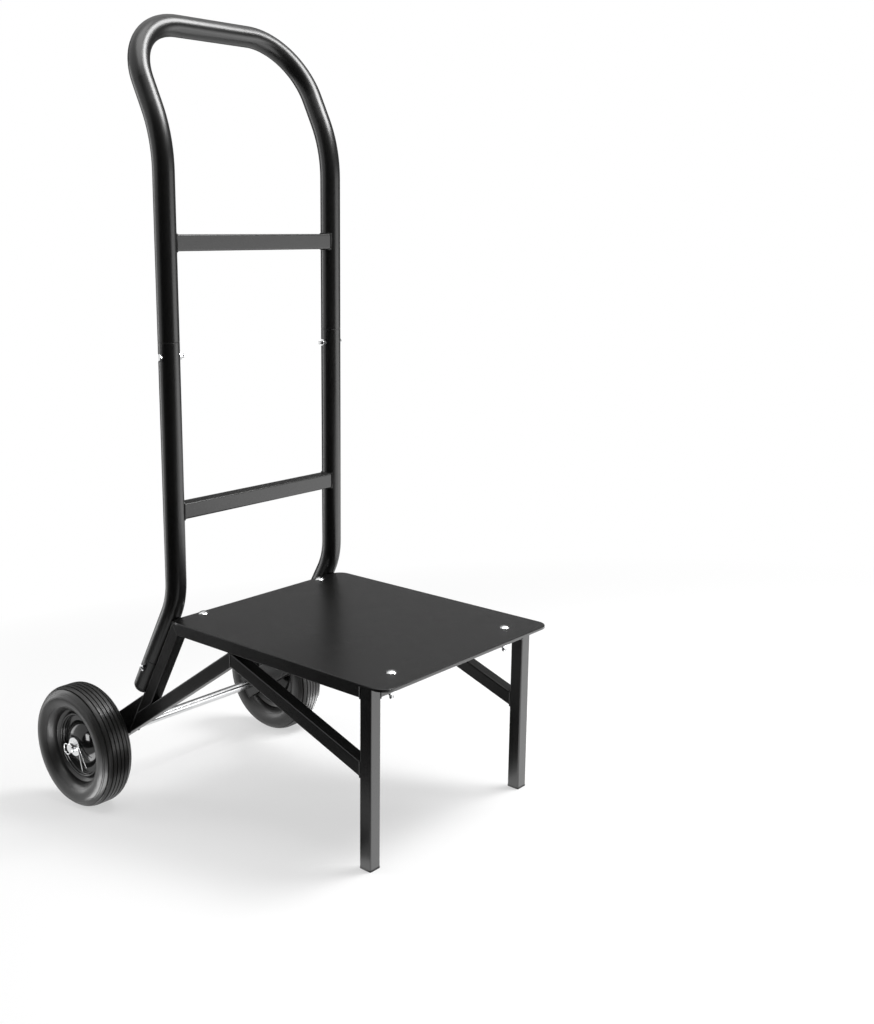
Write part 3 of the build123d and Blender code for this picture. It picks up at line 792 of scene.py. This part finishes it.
def add_floor_softbox(name, place, width, height, radiance):
    """Area lamp that lies on the floor and faces up."""
    return add_softbox(name, place, place + UP, width, height, radiance)


def add_wheel_lamps(side, sign):
    """Window light in the dome of one rim, and bright strips of floor in that rim and the tyre's lip."""

    def mirrored(place):
        return Vector((place[0] * sign, *place[1:]))

    rim_nodes = [f"{side}_outer_rim_half", "wheel_washers", "cotter_pins", "axle"]
    tyre = f"{side}_tyre"
    window = add_softbox(
        f"{side}_window_softbox",
        mirrored(WINDOW_PLACE),
        mirrored(HUB_PLACE),
        width=0.35,
        height=0.45,
        radiance=12.0,
    )
    rim_strip = add_floor_softbox(
        f"{side}_strip_softbox", mirrored(RIM_STRIP_PLACE), width=0.09, height=0.16, radiance=6.0
    )
    lip_strip = add_floor_softbox(
        f"{side}_lip_softbox", mirrored(LIP_STRIP_PLACE), width=0.05, height=0.12, radiance=10.0
    )
    for lamp, nodes in ((window, rim_nodes), (rim_strip, [*rim_nodes, tyre]), (lip_strip, [tyre])):
        lamp.visible_diffuse = False
        aim(lamp, nodes, "INCLUDE")


def add_screen(name, place, target, width, height, material):
    """Dark screen beside the set that only gloss sees, as a photographer places one to shape reflections: a
    painted dark or grey reflection.
    """
    deselect()
    bpy.ops.mesh.primitive_plane_add(size=1.0, location=place)
    screen = bpy.context.object
    screen.name = name
    screen.scale = (width, height, 1)
    screen.rotation_euler = facing(place, target)
    for ray in ("camera", "diffuse", "transmission", "shadow"):
        setattr(screen, f"visible_{ray}", False)
    screen.data.materials.append(material)


def add_floor_reflection_sheet(name, place, width, height, material):
    """Dark sheet on the floor that only gloss sees: a painted dark reflection."""
    add_screen(name, place, place + UP, width, height, material)


def reflection_sheet_finish(name, shade):
    """Matt finish of the screens and floor sheets, seen only in gloss: the shade of a painted reflection."""
    material, shader = new_material(name)
    matt = shader.node("ShaderNodeBsdfDiffuse", inputs={"Color": grey(shade)})
    shader.node("ShaderNodeOutputMaterial", inputs={"Surface": matt})
    return material


def add_camera():
    """Camera where the photograph was taken from."""
    forward = VIEW * cos(CAMERA_PITCH) - UP * sin(CAMERA_PITCH)
    axes = Matrix((VIEW_RIGHT, VIEW_RIGHT.cross(forward), -forward)).transposed().to_4x4()
    bpy.ops.object.camera_add()
    camera = bpy.context.object
    camera.matrix_world = level @ Matrix.Translation(CAMERA_PLACE) @ axes
    long_side = max(PHOTO_WIDTH, PHOTO_HEIGHT)
    camera.data.sensor_width = SENSOR_WIDTH
    camera.data.lens = FOCAL_PIXELS / long_side * SENSOR_WIDTH
    camera.data.shift_x = (PHOTO_WIDTH / 2 - PRINCIPAL_POINT[0]) / long_side
    camera.data.shift_y = (PRINCIPAL_POINT[1] - PHOTO_HEIGHT / 2) / long_side
    bpy.context.scene.camera = camera


add_floor()
add_room()
add_softbox("key_softbox", KEY_PLACE, KEY_TARGET, width=1.4, height=1.2, radiance=20.0)
add_floor_softbox("floor_softbox", FLOOR_PANEL_PLACE, width=4.0, height=4.0, radiance=1.6)
side_lamp = add_softbox("side_softbox", SIDE_PANEL_PLACE, HANDLE_MIDDLE, width=2.0, height=0.9, radiance=1.6)
aim(side_lamp, ["deck_plate"], "EXCLUDE")
add_softbox("left_softbox", LEFT_PLACE, HANDLE_MIDDLE, width=1.0, height=2.2, radiance=2.5)
add_softbox("top_softbox", TOP_PLACE, HANDLE_MIDDLE, width=1.6, height=1.6, radiance=3.0)
rear_lamp = add_softbox("rear_softbox", REAR_PANEL_PLACE, HANDLE_MIDDLE, **REAR_SIZE, radiance=0.15)
aim(rear_lamp, ["deck_plate"], "INCLUDE")
for side, sign in SIDES.items():
    add_wheel_lamps(side, sign)
# Finishes of the gloss-only screens and floor sheets: painted grey and dark reflections
painted_grey_reflection = reflection_sheet_finish("painted_grey_reflection", shade=0.16)
painted_dark_reflection = reflection_sheet_finish("painted_dark_reflection", shade=0.015)
add_screen("rear_screen", REAR_SCREEN_PLACE, HANDLE_MIDDLE, **REAR_SIZE, material=painted_grey_reflection)
add_screen(
    "right_screen", RIGHT_SCREEN_PLACE, RIGHT_SCREEN_TARGET, width=6.0, height=3.2, material=painted_grey_reflection
)
add_screen(
    "front_screen", FRONT_SCREEN_PLACE, FRONT_SCREEN_TARGET, width=6.0, height=5.94, material=painted_dark_reflection
)
add_screen(
    "left_screen", LEFT_SCREEN_PLACE, LEFT_SCREEN_TARGET, width=0.78, height=0.32, material=painted_dark_reflection
)
# Painted shade: a dark sheet under the cart that only gloss sees, standing in for the cart's shadow in
# reflections
add_floor_reflection_sheet("under_cart_painted_shade", UNDER_CART_SHADE_PLACE, width=0.5, height=0.5, material=painted_dark_reflection)
# Painted dark reflection: a dark sheet on the floor left of the cart that only gloss sees
add_floor_reflection_sheet("floor_painted_dark_reflection", DARK_FLOOR_REFLECTION_PLACE, **DARK_FLOOR_REFLECTION_SIZE, material=painted_dark_reflection)
zinc_place = DARK_FLOOR_REFLECTION_PLACE + ZINC_LAMP_RISE * UP
zinc_lamp = add_floor_softbox("zinc_softbox", zinc_place, **DARK_FLOOR_REFLECTION_SIZE, radiance=0.8)
aim(zinc_lamp, ZINC_NODES, "INCLUDE")
add_camera()
bpy.context.scene.view_settings.view_transform = "Standard"
